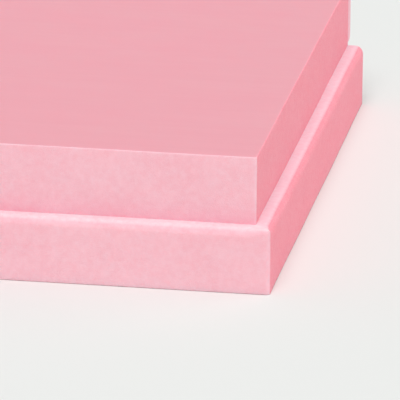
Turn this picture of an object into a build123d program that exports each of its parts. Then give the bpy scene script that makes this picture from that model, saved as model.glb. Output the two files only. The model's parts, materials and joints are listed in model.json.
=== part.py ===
from build123d import *
import os

# One board of extruded polystyrene foam, lying flat, with a half-lap edge on all four sides.
# Millimetres, +Z up, +X along the board and +Y across it.
# The origin is the centre of the underside of the board's overall box.

# What one board covers once its laps are closed on its neighbours.
cover_length = 1250.0
cover_width = 600.0
board_thickness = 120.0

# The half laps. The lower half reaches out at the front and right, the upper half at the back and left.
lap_reach = 15.0        # how far each half reaches past the other
lap_play = 2.0          # height left free between two closed laps, so that they never bind
lap_edge_round = 8.0    # rounding along the free edge of a lap, where it faces the other board's lap
lap_corner_round = 4.0  # rounding of the one outer corner of each lap, seen from above
face_edge_round = 3.0   # rounding along a lap's outer sides where they meet the board's top or underside

# Both laps are as thick as each other and share the play between them.
lap_thickness = (board_thickness - lap_play) / 2


def lap_half():
    """One half of the board, as its lower half: a slab of the covered size, rounded at the front and right."""
    front, right = -cover_width / 2, cover_length / 2
    outline = Rectangle(cover_length, cover_width)
    outer_corner = outline.vertices().sort_by(Axis.X)[-2:].sort_by(Axis.Y)[0]
    outline = fillet(outer_corner, radius=lap_corner_round)
    slab = extrude(outline, amount=lap_thickness)

    def outer_edges(face):
        def at_front_or_right(edge):
            middle = edge.center()
            return middle.Y < front + lap_corner_round or middle.X > right - lap_corner_round

        return face.edges().filter_by(at_front_or_right)

    slab = fillet(outer_edges(slab.faces().sort_by(Axis.Z)[-1]), radius=lap_edge_round)
    return fillet(outer_edges(slab.faces().sort_by(Axis.Z)[0]), radius=face_edge_round)


def core():
    """The middle of the board, where the two halves lie over each other: full thickness."""
    return extrude(Rectangle(cover_length - lap_reach, cover_width - lap_reach), amount=board_thickness)


# The upper half is the lower half inverted through the centre of the board.
lower_half = Pos(lap_reach / 2, -lap_reach / 2, 0) * lap_half()
board_centre = Plane.XY.offset(board_thickness / 2)
upper_half = mirror(lower_half, about=board_centre).rotate(Axis.Z, 180)

foam_board = lower_half + upper_half + core()

os.makedirs("parts", exist_ok=True)
export_step(foam_board, "parts/foam_board.step")
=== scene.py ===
import json
import math

import bmesh
import bpy
from mathutils import Matrix, Vector, noise


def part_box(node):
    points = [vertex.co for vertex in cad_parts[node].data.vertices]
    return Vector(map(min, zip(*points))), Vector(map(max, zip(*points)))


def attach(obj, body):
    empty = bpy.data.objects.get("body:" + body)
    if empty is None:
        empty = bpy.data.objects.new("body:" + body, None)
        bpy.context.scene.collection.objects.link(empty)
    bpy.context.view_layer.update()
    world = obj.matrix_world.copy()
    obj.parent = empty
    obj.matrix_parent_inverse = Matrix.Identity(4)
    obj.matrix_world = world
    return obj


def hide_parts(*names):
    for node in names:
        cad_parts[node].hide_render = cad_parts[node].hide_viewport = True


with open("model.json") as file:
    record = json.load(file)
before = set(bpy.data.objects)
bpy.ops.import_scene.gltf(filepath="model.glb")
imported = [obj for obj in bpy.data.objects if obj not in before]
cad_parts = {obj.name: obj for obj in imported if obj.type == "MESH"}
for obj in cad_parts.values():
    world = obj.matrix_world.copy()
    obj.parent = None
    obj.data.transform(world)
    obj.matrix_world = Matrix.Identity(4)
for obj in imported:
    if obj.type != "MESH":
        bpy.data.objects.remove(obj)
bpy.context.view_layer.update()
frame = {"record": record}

cadLow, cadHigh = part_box("foam_board")
mountAt = {mount["name"]: Vector(mount["pos_m"]) for mount in frame["record"]["mounts"]}
print("frame loaded, board", [round(side, 4) for side in cadHigh - cadLow])

# The laps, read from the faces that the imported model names
lapReach = 2 * mountAt["underside"].x
lowerLapTop = mountAt["front_lap"].z
upperLapUnderside = mountAt["back_lap"].z
lapEdgeRound = 2 * (mountAt["front_lap"].y - cadLow.y) - lapReach
lapThickness = lowerLapTop - cadLow.z
middleHeight = (lowerLapTop + upperLapUnderside) / 2
tiny = 1e-6     # metres; places nearer than this count as the same


# Small helpers for shader trees

def addNode(tree, kind, settings=None, **values):
    node = tree.nodes.new(kind)
    for key, value in (settings or {}).items():
        setattr(node, key, value)
    for key, value in values.items():
        node.inputs[key].default_value = value
    return node


def feed(tree, socket, value):
    # A socket takes either another node's output or a plain value
    if isinstance(value, bpy.types.NodeSocket):
        tree.links.new(value, socket)
    else:
        socket.default_value = value


def mathNode(tree, operation, first, second=0.0, clamp=False):
    node = addNode(tree, "ShaderNodeMath", {"operation": operation, "use_clamp": clamp})
    feed(tree, node.inputs[0], first)
    feed(tree, node.inputs[1], second)
    return node.outputs[0]


def weightedSum(tree, *parts):
    total = None
    for mask, share in parts:
        part = mathNode(tree, "MULTIPLY", mask, share)
        total = part if total is None else mathNode(tree, "ADD", total, part)
    return total


def mixColour(tree, factor, first, second, blend="MIX"):
    node = addNode(tree, "ShaderNodeMix", {"data_type": "RGBA", "blend_type": blend})
    for index, value in ((0, factor), (6, first), (7, second)):
        feed(tree, node.inputs[index], value)
    return node.outputs[2]


def spreadValue(tree, value, low, high, toLow=0.0, toHigh=1.0, smooth=False):
    kind = "SMOOTHSTEP" if smooth else "LINEAR"
    node = addNode(tree, "ShaderNodeMapRange", {"interpolation_type": kind},
                   **{"From Min": low, "From Max": high, "To Min": toLow, "To Max": toHigh})
    feed(tree, node.inputs["Value"], value)
    return node.outputs["Result"]


def newGroup(name, inputs, outputs):
    group = bpy.data.node_groups.new(name, "ShaderNodeTree")
    for label, kind, value in inputs:
        socket = group.interface.new_socket(name=label, in_out="INPUT", socket_type="NodeSocket" + kind)
        if value is not None:
            socket.default_value = value
    for label in outputs:
        group.interface.new_socket(name=label, in_out="OUTPUT", socket_type="NodeSocketFloat")
    return group, group.nodes.new("NodeGroupInput"), group.nodes.new("NodeGroupOutput")


# Effects that the skin and the cut faces share, each a shader group

effectLook = {
    "cellWall": (0.15, 0.75),       # where a cell's wall starts and is full, in cell widths from its middle
    "breaks": {"Scale": 160.0, "Detail": 3.0},      # the noise that breaks up a line along an edge
    "breakSpread": (0.3, 0.6),      # between these values of that noise the line goes from weak to whole
}


def buildFoamCells(look):
    # Closed cells: a shade for each one, and the pits and walls that a cut leaves
    group, given, result = newGroup(
        "foamCells",
        [("Vector", "Vector", None), ("Cells per Metre", "Float", 900.0), ("Unevenness", "Float", 1.0)],
        ["Shade", "Walls"])
    cell = addNode(group, "ShaderNodeTexVoronoi", {"feature": "F1"})
    feed(group, cell.inputs["Vector"], given.outputs["Vector"])
    feed(group, cell.inputs["Scale"], given.outputs["Cells per Metre"])
    feed(group, cell.inputs["Randomness"], given.outputs["Unevenness"])
    shade = addNode(group, "ShaderNodeSeparateColor")
    feed(group, shade.inputs["Color"], cell.outputs["Color"])
    feed(group, result.inputs["Shade"], shade.outputs["Red"])
    walls = spreadValue(group, cell.outputs["Distance"], *look["cellWall"], smooth=True)
    feed(group, result.inputs["Walls"], walls)
    return group


def buildStretchedGrain():
    # Noise drawn out along one direction: mottling when even, streaks when stretched
    group, given, result = newGroup(
        "stretchedGrain",
        [("Vector", "Vector", None), ("Stretch", "Vector", (1.0, 1.0, 1.0)),
         ("Grains per Metre", "Float", 100.0), ("Detail", "Float", 2.0),
         ("Low", "Float", 0.35), ("High", "Float", 0.65)],
        ["Mask"])
    stretch = addNode(group, "ShaderNodeVectorMath", {"operation": "MULTIPLY"})
    feed(group, stretch.inputs[0], given.outputs["Vector"])
    feed(group, stretch.inputs[1], given.outputs["Stretch"])
    grain = addNode(group, "ShaderNodeTexNoise")
    feed(group, grain.inputs["Vector"], stretch.outputs[0])
    feed(group, grain.inputs["Scale"], given.outputs["Grains per Metre"])
    feed(group, grain.inputs["Detail"], given.outputs["Detail"])
    spread = addNode(group, "ShaderNodeMapRange")
    feed(group, spread.inputs["Value"], grain.outputs["Fac"])
    feed(group, spread.inputs["From Min"], given.outputs["Low"])
    feed(group, spread.inputs["From Max"], given.outputs["High"])
    feed(group, result.inputs["Mask"], spread.outputs["Result"])
    return group


def buildEdgeLine(look):
    # A tone along marked edges of the mesh, narrowed and broken up so that it isn't even
    group, given, result = newGroup(
        "edgeLine",
        [("Vector", "Vector", None), ("Mark", "Float", 0.0), ("Narrowness", "Float", 3.0),
         ("Evenness", "Float", 0.5), ("Strength", "Float", 1.0)],
        ["Mask"])
    line = mathNode(group, "POWER", given.outputs["Mark"], given.outputs["Narrowness"])
    breaks = addNode(group, "ShaderNodeTexNoise", **look["breaks"])
    feed(group, breaks.inputs["Vector"], given.outputs["Vector"])
    low, high = look["breakSpread"]
    kept = addNode(group, "ShaderNodeMapRange", **{"From Min": low, "From Max": high, "To Max": 1.0})
    feed(group, kept.inputs["Value"], breaks.outputs["Fac"])
    feed(group, kept.inputs["To Min"], given.outputs["Evenness"])
    strength = mathNode(group, "MULTIPLY", kept.outputs["Result"], given.outputs["Strength"])
    feed(group, result.inputs["Mask"], mathNode(group, "MULTIPLY", line, strength, clamp=True))
    return group


foamCells = buildFoamCells(effectLook)
stretchedGrain = buildStretchedGrain()
edgeLine = buildEdgeLine(effectLook)


def placeGroup(tree, group, vector, values):
    node = addNode(tree, "ShaderNodeGroup", {"node_tree": group}, **values)
    feed(tree, node.inputs["Vector"], vector)
    return node.outputs


def placeEdgeLine(tree, vector, mark, values):
    # Mark names the mesh attribute that says where the edges are
    node = addNode(tree, "ShaderNodeGroup", {"node_tree": edgeLine}, **values)
    attribute = addNode(tree, "ShaderNodeAttribute", {"attribute_name": mark})
    feed(tree, node.inputs["Mark"], attribute.outputs["Fac"])
    feed(tree, node.inputs["Vector"], vector)
    return node.outputs["Mask"]


def newMaterial(name):
    material = bpy.data.materials.new(name)
    material.use_nodes = True
    tree = material.node_tree
    tree.nodes.clear()
    output = addNode(tree, "ShaderNodeOutputMaterial")
    shader = addNode(tree, "ShaderNodeBsdfPrincipled")
    feed(tree, output.inputs["Surface"], shader.outputs[0])
    return material, shader


def setFoamShader(shader, look):
    # The foam is full of tiny closed cells, so light goes some way in before it comes out again
    shader.inputs["Specular IOR Level"].default_value = look["specular"]
    shader.inputs["Subsurface Weight"].default_value = look["glowThrough"]
    shader.inputs["Subsurface Radius"].default_value = look["glowReach"]
    shader.inputs["Subsurface Scale"].default_value = 1.0       # so that glowReach is in metres


def addBump(tree, shader, height, look):
    bump = addNode(tree, "ShaderNodeBump", **{"Strength": look["bump"], "Distance": look["bumpDepth"]})
    feed(tree, bump.inputs["Height"], height)
    feed(tree, shader.inputs["Normal"], bump.outputs[0])


# Extrusion skin of the two big faces: dense, smooth, a deeper pink than the cut foam

skinLook = {
    "colour": (0.785, 0.318, 0.380, 1.0),
    "streakColour": (0.81, 0.338, 0.402, 1.0),
    "wornColour": (0.90, 0.50, 0.57, 1.0),
    "roughness": (0.42, 0.54),
    "specular": 0.35,
    "glowThrough": 0.25,
    "glowReach": (0.012, 0.005, 0.005),
    "bump": 0.15,
    "bumpDepth": 0.0004,
    "streaks": {"Stretch": (0.05, 1.0, 1.0), "Grains per Metre": 160.0, "Detail": 4.0,
                "Low": 0.32, "High": 0.68},
    "clouds": {"Stretch": (0.6, 1.0, 1.0), "Grains per Metre": 22.0, "Detail": 3.0,
               "Low": 0.3, "High": 0.7},
    "dimples": {"Cells per Metre": 420.0},
    "wear": {"Narrowness": 3.0, "Evenness": 0.4, "Strength": 0.05},
    "colourShares": (0.45, 0.55),       # what streaks and clouds add to the colour
    "bumpShares": (0.6, 0.4),       # what streaks and dimples add to the relief
}


def buildSkin(look):
    material, shader = newMaterial("foamSkin")
    tree = material.node_tree
    where = addNode(tree, "ShaderNodeTexCoord").outputs
    streaks = placeGroup(tree, stretchedGrain, where["Object"], look["streaks"])["Mask"]
    clouds = placeGroup(tree, stretchedGrain, where["Object"], look["clouds"])["Mask"]
    dimples = placeGroup(tree, foamCells, where["Object"], look["dimples"])["Walls"]
    wear = placeEdgeLine(tree, where["Object"], "arris", look["wear"])
    drift = weightedSum(tree, *zip((streaks, clouds), look["colourShares"]))
    colour = mixColour(tree, drift, look["colour"], look["streakColour"])
    feed(tree, shader.inputs["Base Color"], mixColour(tree, wear, colour, look["wornColour"]))
    feed(tree, shader.inputs["Roughness"], spreadValue(tree, clouds, 0.0, 1.0, *look["roughness"]))
    relief = weightedSum(tree, *zip((streaks, dimples), look["bumpShares"]))
    addBump(tree, shader, relief, look)
    setFoamShader(shader, look)
    return material


# Cut foam of the edges and laps: matt and finely celled, with painted light making the level lap faces palest
# and painted shade making the ends deepest

cutLook = {
    "sideColour": (0.94, 0.560, 0.628, 1.0),
    # painted light: the level faces of the laps paler than the walls of the same foam
    "sideLapLitColour": (0.87, 0.72, 0.765, 1.0),
    "sideLapLitFacing": (0.55, 0.95),      # how level a face is where the painted lap light starts and where it is full
    # painted shade: the ends deeper than the long sides of the same foam
    "endShadedColour": (0.94, 0.29, 0.358, 1.0),
    # painted shade of the ends together with painted light of the level laps
    "endLapShadedLitColour": (0.86, 0.65, 0.72, 1.0),
    "endLapLitFacing": (0.86, 1.0),
    "lapHeights": (0.009, 0.012),       # metres from middle height where the painted lap light fades and ends
    "endBlend": (0.0005, 0.0035),       # metres past a corner where the side's colour fades into the ends' painted shade, and where it ends
    "deepTint": (0.955, 0.785, 0.815, 1.0),     # what mottling multiplies the side and end colours by
    "wallColour": (0.95, 0.62, 0.68, 1.0),
    "wornColour": (0.95, 0.62, 0.68, 1.0),
    "wallShare": 0.25,      # how strongly the walls of the cells show
    "cornerShadeColour": (0.84, 0.30, 0.42, 1.0),    # painted shade towards the inner corners of the laps
    "roughness": (0.78, 0.92),
    "specular": 0.2,
    "glowThrough": 0.3,
    "glowReach": (0.014, 0.006, 0.006),
    "bump": 0.35,
    "bumpDepth": 0.0005,
    "cells": {"Cells per Metre": 1100.0},
    "mottle": {"Grains per Metre": 190.0, "Detail": 3.0, "Low": 0.3, "High": 0.7},
    "clouds": {"Stretch": (0.7, 0.7, 1.0), "Grains per Metre": 26.0, "Detail": 3.0,
               "Low": 0.3, "High": 0.7},
    "toolMarks": {"Stretch": (0.04, 0.04, 1.0), "Grains per Metre": 420.0},
    "wear": {"Narrowness": 3.0, "Evenness": 0.4, "Strength": 0.03},
    # painted shade along the inner corners of the laps, fading along the wall above or below
    "innerCornerShade": {"Narrowness": 1.2, "Evenness": 0.7, "Strength": 0.34},
    "endCornerShade": 0.2,       # how much of that painted shade is left on the ends
    "cornerShadeFacing": (0.0, 0.5),     # how level a face is where that painted shade starts to fade and is gone
    "colourShares": (0.55, 0.3, 0.15),      # what mottling, clouds and the cells' shades add to the colour
    "bumpShares": (0.6, 0.25, 0.3),     # what cell walls, tool marks and mottling add to the relief
}


def sizeAlong(tree, vector, *axes):
    # How large the vector is along each of these axes, whichever way it points
    split = addNode(tree, "ShaderNodeSeparateXYZ")
    feed(tree, split.inputs[0], vector)
    return [mathNode(tree, "ABSOLUTE", split.outputs[axis]) for axis in axes]


def endShadeMask(tree, place, blend):
    # Where the ends' painted shade goes: 1 on the ends and their laps and 0 on the long sides and theirs,
    # which meet diagonally at the corners
    along, across = sizeAlong(tree, place, "X", "Y")
    diagonal = cadHigh.x - cadHigh.y
    start, end = [diagonal + offset for offset in blend]
    return spreadValue(tree, mathNode(tree, "SUBTRACT", along, across), start, end, smooth=True)


def litLapMask(tree, place, level, facing, look):
    # Where the painted lap light goes: 1 on the level faces of the laps, which lie near the middle height,
    # and 0 on the skins' edges
    height = addNode(tree, "ShaderNodeSeparateXYZ")
    feed(tree, height.inputs[0], place)
    fromMiddle = mathNode(tree, "SUBTRACT", height.outputs["Z"], middleHeight)
    near = spreadValue(tree, mathNode(tree, "ABSOLUTE", fromMiddle), *look["lapHeights"], 1.0, 0.0)
    return mathNode(tree, "MULTIPLY", near, spreadValue(tree, level, *facing, smooth=True))


def buildCutFoam(look):
    material, shader = newMaterial("cutFoam")
    tree = material.node_tree
    where = addNode(tree, "ShaderNodeTexCoord").outputs
    cells = placeGroup(tree, foamCells, where["Object"], look["cells"])
    mottle = placeGroup(tree, stretchedGrain, where["Object"], look["mottle"])["Mask"]
    clouds = placeGroup(tree, stretchedGrain, where["Object"], look["clouds"])["Mask"]
    toolMarks = placeGroup(tree, stretchedGrain, where["Object"], look["toolMarks"])["Mask"]
    wear = placeEdgeLine(tree, where["Object"], "arris", look["wear"])
    # painted shade at the inner corners of the laps, fading along the wall
    corner = placeEdgeLine(tree, where["Object"], "innerCornerShade", look["innerCornerShade"])
    level, = sizeAlong(tree, where["Normal"], "Z")
    # painted light on the level faces of the laps, growing as a face turns level
    sideLap, endLap = [litLapMask(tree, where["Object"], level, look[facing], look)
                       for facing in ("sideLapLitFacing", "endLapLitFacing")]
    sideColour = mixColour(tree, sideLap, look["sideColour"], look["sideLapLitColour"])
    endShadedColour = mixColour(tree, endLap, look["endShadedColour"], look["endLapShadedLitColour"])
    # painted shade on the ends, meeting the long sides diagonally at the corners
    endShadeShare = endShadeMask(tree, where["Object"], look["endBlend"])
    colour = mixColour(tree, endShadeShare, sideColour, endShadedColour)
    drift = weightedSum(tree, *zip((mottle, clouds, cells["Shade"]), look["colourShares"]))
    colour = mixColour(tree, drift, colour, look["deepTint"], "MULTIPLY")
    walls = mathNode(tree, "MULTIPLY", cells["Walls"], look["wallShare"])
    colour = mixColour(tree, walls, colour, look["wallColour"])
    # the painted corner shade is weaker on the ends and gone on level faces
    corner = mathNode(tree, "MULTIPLY", corner, spreadValue(tree, endShadeShare, 0.0, 1.0, 1.0, look["endCornerShade"]))
    corner = mathNode(tree, "MULTIPLY", corner, spreadValue(tree, level, *look["cornerShadeFacing"], 1.0, 0.0))
    colour = mixColour(tree, corner, colour, look["cornerShadeColour"])
    feed(tree, shader.inputs["Base Color"], mixColour(tree, wear, colour, look["wornColour"]))
    feed(tree, shader.inputs["Roughness"], spreadValue(tree, mottle, 0.0, 1.0, *look["roughness"]))
    relief = weightedSum(tree, *zip((cells["Walls"], toolMarks, mottle), look["bumpShares"]))
    addBump(tree, shader, relief, look)
    setFoamShader(shader, look)
    return material


materials = [buildSkin(skinLook), buildCutFoam(cutLook)]
skinSlot, cutSlot = range(2)
print("materials built:", ", ".join(material.name for material in materials))


# The board: a fine quad mesh over both halves, with rounded laps, eased arrises and slight waves

boardShape = {
    "meshStep": 0.012,      # metres between the mesh lines on the open faces
    "edgeLines": (0.003, 0.007),    # how far from an arris or an inner corner the first lines lie
    "roundStep": 0.002,     # metres between them across a lap's rounded edge
    "fineStep": 0.001,      # and across the smaller roundings
    "cornerRound": 0.004,   # outer corner of each lap, seen from above
    "cornerTight": 0.25,    # the rounding of a lap's edge narrows to this share of itself at that corner
    "cornerTaper": 0.018,   # metres along the edge over which it narrows
    "faceEdgeRound": 0.001,     # outer sides of a lap where they meet the top or the underside
    "arris": 0.0008,        # how far the sharp edges are eased
    "arrisSteps": 2,        # faces across an eased edge
    "sharpFrom": 60.0,      # degrees; where faces turn by more than this is an arris or an inner corner
    "cornerShade": 0.025,   # how far from an inner corner its mark fades out along the wall
    "waveHeight": 0.0004,   # how far the faces stray from flat
    "waveLength": 0.16,
    "waveOffsets": (3.1, 17.7, 29.3),       # where in the noise the waves along X, Y and Z are read
    "rippleShare": 0.35,    # height of the shorter waves on top, as a share of the long ones
    "rippleTimes": 4.0,     # how many of them go into a long one
    # how far from an inner corner its painted shade fades out along the wall
    "rippleOffsets": (5.3, 11.9, 41.2),
    "levelFoot": 0.02,      # the waves fade out over this height, so that the board lies flat
}


def spacedLines(low, high, step):
    count = max(1, round((high - low) / step))
    return [low + (high - low) * i / count for i in range(count + 1)]


def acrossLines(low, high, shape):
    # Mesh lines from one side of the board to the other, closer together over the laps
    overRound = spacedLines(0, shape["cornerRound"], shape["fineStep"])
    overRound += spacedLines(shape["cornerRound"], lapEdgeRound, shape["roundStep"])[1:]
    overLap = overRound + [(overRound[-1] + lapReach) / 2, lapReach]
    overLap += [lapReach + line for line in shape["edgeLines"]]
    inset = lapReach + shape["meshStep"]
    middle = spacedLines(low + inset, high - inset, shape["meshStep"])
    return [low + line for line in overLap] + middle + [high - line for line in reversed(overLap)]


def upLines(top, shape):
    # Mesh lines from the underside to the top, closer together at both lap edges
    step = shape["meshStep"]
    outer = spacedLines(0, shape["faceEdgeRound"], shape["fineStep"]) + [shape["edgeLines"][-1]]
    overRound = spacedLines(0, lapEdgeRound, shape["roundStep"])
    lines = outer + spacedLines(step, lowerLapTop - lapEdgeRound, step)[:-1]
    lines += [lowerLapTop - line for line in reversed(overRound)]
    lines += [upperLapUnderside + line for line in overRound]
    lines += spacedLines(upperLapUnderside + lapEdgeRound, top - step, step)[1:]
    return lines + [top - line for line in reversed(outer)]


def isFoam(x, y, z):
    inLower = x > cadLow.x + lapReach and y < cadHigh.y - lapReach
    inUpper = x < cadHigh.x - lapReach and y > cadLow.y + lapReach
    return (inLower and z < lowerLapTop) or (inUpper and z > upperLapUnderside) or (inLower and inUpper)


def addSurface(mesh, xs, ys, zs):
    # Four-sided faces wherever a filled cell of the grid meets an empty one
    def filled(i, j, k):
        if not (0 <= i < len(xs) - 1 and 0 <= j < len(ys) - 1 and 0 <= k < len(zs) - 1):
            return False
        return isFoam((xs[i] + xs[i + 1]) / 2, (ys[j] + ys[j + 1]) / 2, (zs[k] + zs[k + 1]) / 2)

    points = {}

    def pointAt(i, j, k):
        if (i, j, k) not in points:
            points[i, j, k] = mesh.verts.new((xs[i], ys[j], zs[k]))
        return points[i, j, k]

    sides = {       # the step to the next cell, and the corners of the face between, seen from outside
        (-1, 0, 0): ((0, 0, 0), (0, 0, 1), (0, 1, 1), (0, 1, 0)),
        (1, 0, 0): ((1, 0, 0), (1, 1, 0), (1, 1, 1), (1, 0, 1)),
        (0, -1, 0): ((0, 0, 0), (1, 0, 0), (1, 0, 1), (0, 0, 1)),
        (0, 1, 0): ((0, 1, 0), (0, 1, 1), (1, 1, 1), (1, 1, 0)),
        (0, 0, -1): ((0, 0, 0), (0, 1, 0), (1, 1, 0), (1, 0, 0)),
        (0, 0, 1): ((0, 0, 1), (1, 0, 1), (1, 1, 1), (0, 1, 1)),
    }
    cells = [(i, j, k) for i in range(len(xs) - 1) for j in range(len(ys) - 1) for k in range(len(zs) - 1)]
    for i, j, k in cells:
        if not filled(i, j, k):
            continue
        for (di, dj, dk), corners in sides.items():
            if not filled(i + di, j + dj, k + dk):
                mesh.faces.new([pointAt(i + a, j + b, k + c) for a, b, c in corners])


def squareToRound(a, b):
    # Moves a point of a square corner onto the round one; both run from 0 at the centre to 1
    reach = math.hypot(a, b)
    return (a, b) if reach == 0 else (a * max(a, b) / reach, b * max(a, b) / reach)


def roundEdge(inward, deep, radius):
    # Inward and deep are how far the point lies inside the two faces that meet at the edge
    if inward >= radius or deep >= radius:
        return inward, deep
    a, b = squareToRound(1 - inward / radius, 1 - deep / radius)
    return radius * (1 - a), radius * (1 - b)


def tightening(fromCorner, shape):
    # What share of its full radius the lap's rounded edge has at this distance from the outer corner
    along = min(1.0, fromCorner / shape["cornerTaper"])
    return shape["cornerTight"] + (1 - shape["cornerTight"]) * along * along * (3 - 2 * along)


def roundLap(inX, inY, deep, shape):
    # The point lies inX and inY inside the lap's outer corner, and deep inside the face of the lap
    radius = shape["cornerRound"]
    share = tightening(max(inX, inY), shape)
    onEdge = lapEdgeRound + tiny
    if deep <= onEdge:
        inX, inY = [side * share if side <= onEdge else side for side in (inX, inY)]
        deep *= share
    inward = min(inX, inY)
    outX, outY = (1.0, 0.0) if inX < inY else (0.0, 1.0)
    if inX < radius and inY < radius:
        inX, inY = roundEdge(inX, inY, radius)
        reach = math.hypot(radius - inX, radius - inY)
        inward = radius - reach
        if reach > 0:
            outX, outY = (radius - inX) / reach, (radius - inY) / reach
    newInward, deep = roundEdge(inward, deep, lapEdgeRound * share)
    newInward, fromFace = roundEdge(newInward, lapThickness - deep, shape["faceEdgeRound"])
    moved = newInward - inward
    return inX + outX * moved, inY + outY * moved, lapThickness - fromFace


def roundLaps(mesh, shape):
    for vertex in mesh.verts:
        x, y, z = vertex.co
        if z < middleHeight:
            inX, inY, deep = roundLap(cadHigh.x - x, y - cadLow.y, lowerLapTop - z, shape)
            vertex.co = (cadHigh.x - inX, cadLow.y + inY, lowerLapTop - deep)
        else:
            inX, inY, deep = roundLap(x - cadLow.x, cadHigh.y - y, z - upperLapUnderside, shape)
            vertex.co = (cadLow.x + inX, cadHigh.y - inY, upperLapUnderside + deep)


def easeArrises(mesh, shape):
    # Bevels the sharp outer edges and marks them for the wear line
    arris = mesh.verts.layers.float.new("arris")
    mesh.normal_update()
    limit = math.radians(shape["sharpFrom"])
    outer = [edge for edge in mesh.edges if edge.calc_face_angle_signed() > limit]
    eased = bmesh.ops.bevel(mesh, geom=outer, offset=shape["arris"], offset_type="OFFSET",
                            segments=shape["arrisSteps"], profile=0.5, affect="EDGES", material=cutSlot)
    for face in eased["faces"]:
        for vertex in face.verts:
            vertex[arris] = 1.0


def markInnerCorners(mesh, shape):
    # Keeps the inner corners sharp, and marks them and, less and less, the wall above or below them, for
    # painted shade there
    decimals = 5        # fine enough to tell the mesh lines apart

    def standsAt(vertex):
        return tuple(round(side, decimals) for side in vertex.co.xy)

    innerCornerShade = mesh.verts.layers.float.new("innerCornerShade")
    mesh.normal_update()
    limit = math.radians(shape["sharpFrom"])
    cornerHeight = {}
    for edge in mesh.edges:
        if edge.calc_face_angle_signed() < -limit:
            edge.smooth = False
            for vertex in edge.verts:
                cornerHeight[standsAt(vertex)] = vertex.co.z
    for vertex in mesh.verts:
        height = cornerHeight.get(standsAt(vertex))
        if height is not None:
            vertex[innerCornerShade] = max(0.0, 1 - abs(vertex.co.z - height) / shape["cornerShade"])


def addWaves(mesh, shape):
    # Moves every point a little, by smooth noise that is the same each time
    def drift(place, offsets):
        return Vector([noise.noise(place + Vector((offset, 0, 0))) for offset in offsets])

    for vertex in mesh.verts:
        place = vertex.co / shape["waveLength"]
        wave = drift(place, shape["waveOffsets"])
        wave += shape["rippleShare"] * drift(place * shape["rippleTimes"], shape["rippleOffsets"])
        wave *= shape["waveHeight"]
        wave.z *= min(1.0, vertex.co.z / shape["levelFoot"])
        vertex.co += wave


def buildBoard(shape):
    mesh = bmesh.new()
    addSurface(mesh, acrossLines(cadLow.x, cadHigh.x, shape), acrossLines(cadLow.y, cadHigh.y, shape),
               upLines(cadHigh.z, shape))
    for face in mesh.faces:
        height = face.calc_center_median().z
        face.material_index = skinSlot if min(height, cadHigh.z - height) < tiny else cutSlot
    roundLaps(mesh, shape)
    easeArrises(mesh, shape)
    markInnerCorners(mesh, shape)
    addWaves(mesh, shape)
    for face in mesh.faces:
        face.smooth = True
    data = bpy.data.meshes.new("foamBoard")
    mesh.to_mesh(data)
    mesh.free()
    for material in materials:
        data.materials.append(material)
    board = bpy.data.objects.new("foamBoard", data)
    bpy.context.scene.collection.objects.link(board)
    normals = board.modifiers.new("evenNormals", "WEIGHTED_NORMAL")
    normals.keep_sharp = True
    return board


board = buildBoard(boardShape)
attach(board, "root")
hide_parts("foam_board")
print("board built:", len(board.data.polygons), "faces")


# Floor, light and camera

stageLook = {
    "floorColour": (0.795, 0.812, 0.795, 1.0),
    "floorRoughness": 0.9,
    "floorSpecular": 0.1,
    "floorSize": 300.0,     # metres from its middle to each side
    "backdropColour": (0.92, 0.915, 0.90, 1.0),
    "skyStrength": 0.42,
    "lamps": {      # where each one shines from, its strength and how many degrees across it is
        "key": ((0.08, -0.56, 0.823), 2.0, 35.0),
        "fill": ((0.85, 0.30, 0.43), 0.8, 60.0),
    },
}


def buildFloor(look):
    size = look["floorSize"]
    data = bpy.data.meshes.new("floor")
    corners = [(x * size, y * size, 0) for x, y in ((-1, -1), (1, -1), (1, 1), (-1, 1))]
    data.from_pydata(corners, [], [(0, 1, 2, 3)])
    floor = bpy.data.objects.new("floor", data)
    bpy.context.scene.collection.objects.link(floor)
    material, shader = newMaterial("paleFloor")
    shader.inputs["Base Color"].default_value = look["floorColour"]
    shader.inputs["Roughness"].default_value = look["floorRoughness"]
    shader.inputs["Specular IOR Level"].default_value = look["floorSpecular"]
    data.materials.append(material)


def buildSky(look):
    # The camera and reflections see the backdrop, and a plain white sky lights the board
    world = bpy.data.worlds.new("studio")
    bpy.context.scene.world = world
    world.use_nodes = True
    tree = world.node_tree
    tree.nodes.clear()
    output = addNode(tree, "ShaderNodeOutputWorld")
    light = addNode(tree, "ShaderNodeBackground", **{"Color": (1, 1, 1, 1), "Strength": look["skyStrength"]})
    seen = addNode(tree, "ShaderNodeBackground", **{"Color": look["backdropColour"], "Strength": 1.0})
    rays = addNode(tree, "ShaderNodeLightPath").outputs
    shown = mathNode(tree, "MAXIMUM", rays["Is Camera Ray"], rays["Is Glossy Ray"])
    shown = mathNode(tree, "MAXIMUM", shown, rays["Is Transmission Ray"])
    mix = addNode(tree, "ShaderNodeMixShader")
    for index, source in enumerate((shown, light.outputs[0], seen.outputs[0])):
        feed(tree, mix.inputs[index], source)
    feed(tree, output.inputs["Surface"], mix.outputs[0])


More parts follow.
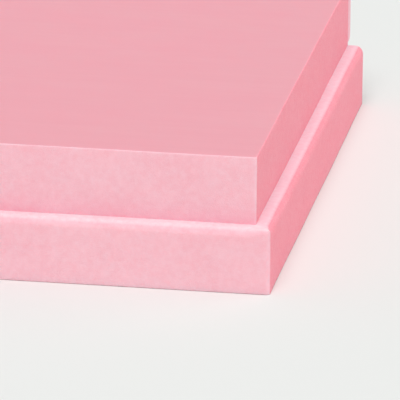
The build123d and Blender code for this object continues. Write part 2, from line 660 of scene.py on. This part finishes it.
def hangLamps(look):
    for name, (shinesFrom, strength, softness) in look["lamps"].items():
        light = bpy.data.lights.new(name, "SUN")
        light.energy = strength
        light.angle = math.radians(softness)
        lamp = bpy.data.objects.new(name, light)
        lamp.rotation_euler = Vector(shinesFrom).to_track_quat("Z", "Y").to_euler()
        bpy.context.scene.collection.objects.link(lamp)


cameraSetup = {
    "azimuth": 9.087,       # degrees round from straight in front, towards the right
    "elevation": 17.345,
    "roll": 0.48,
    "distance": 5.0,        # metres from the corner below
    "focalPixels": 5771.6,  # focal length in pixels of the frame
    "framePixels": 400,
    "sensorWidth": 36.0,    # millimetres
    "seesUpTo": 1000.0,     # metres
    "cornerPixel": (256.92, 157.69),    # where the near top corner of the upper half shows
}


def placeCamera(setup):
    azimuth, elevation, roll = (math.radians(setup[key]) for key in ("azimuth", "elevation", "roll"))
    back = Vector((math.sin(azimuth) * math.cos(elevation), -math.cos(azimuth) * math.cos(elevation),
                   math.sin(elevation)))
    level = Vector((math.cos(azimuth), math.sin(azimuth), 0))
    upright = back.cross(level)
    right = level * math.cos(roll) + upright * math.sin(roll)
    up = upright * math.cos(roll) - level * math.sin(roll)
    data = bpy.data.cameras.new("camera")
    data.sensor_width = setup["sensorWidth"]
    data.lens = setup["focalPixels"] * data.sensor_width / setup["framePixels"]
    data.clip_end = setup["seesUpTo"]
    corner = Vector((cadHigh.x - lapReach, cadLow.y + lapReach, cadHigh.z))
    perPixel = setup["distance"] / setup["focalPixels"]
    across = (setup["cornerPixel"][0] - setup["framePixels"] / 2) * perPixel
    above = (setup["framePixels"] / 2 - setup["cornerPixel"][1]) * perPixel
    camera = bpy.data.objects.new("camera", data)
    place = corner + back * setup["distance"] - right * across - up * above
    camera.matrix_world = Matrix.Translation(place) @ Matrix((right, up, back)).transposed().to_4x4()
    bpy.context.scene.collection.objects.link(camera)
    bpy.context.scene.camera = camera


buildFloor(stageLook)
buildSky(stageLook)
hangLamps(stageLook)
placeCamera(cameraSetup)
bpy.context.scene.view_settings.view_transform = "Standard"
print("floor, light and camera set")
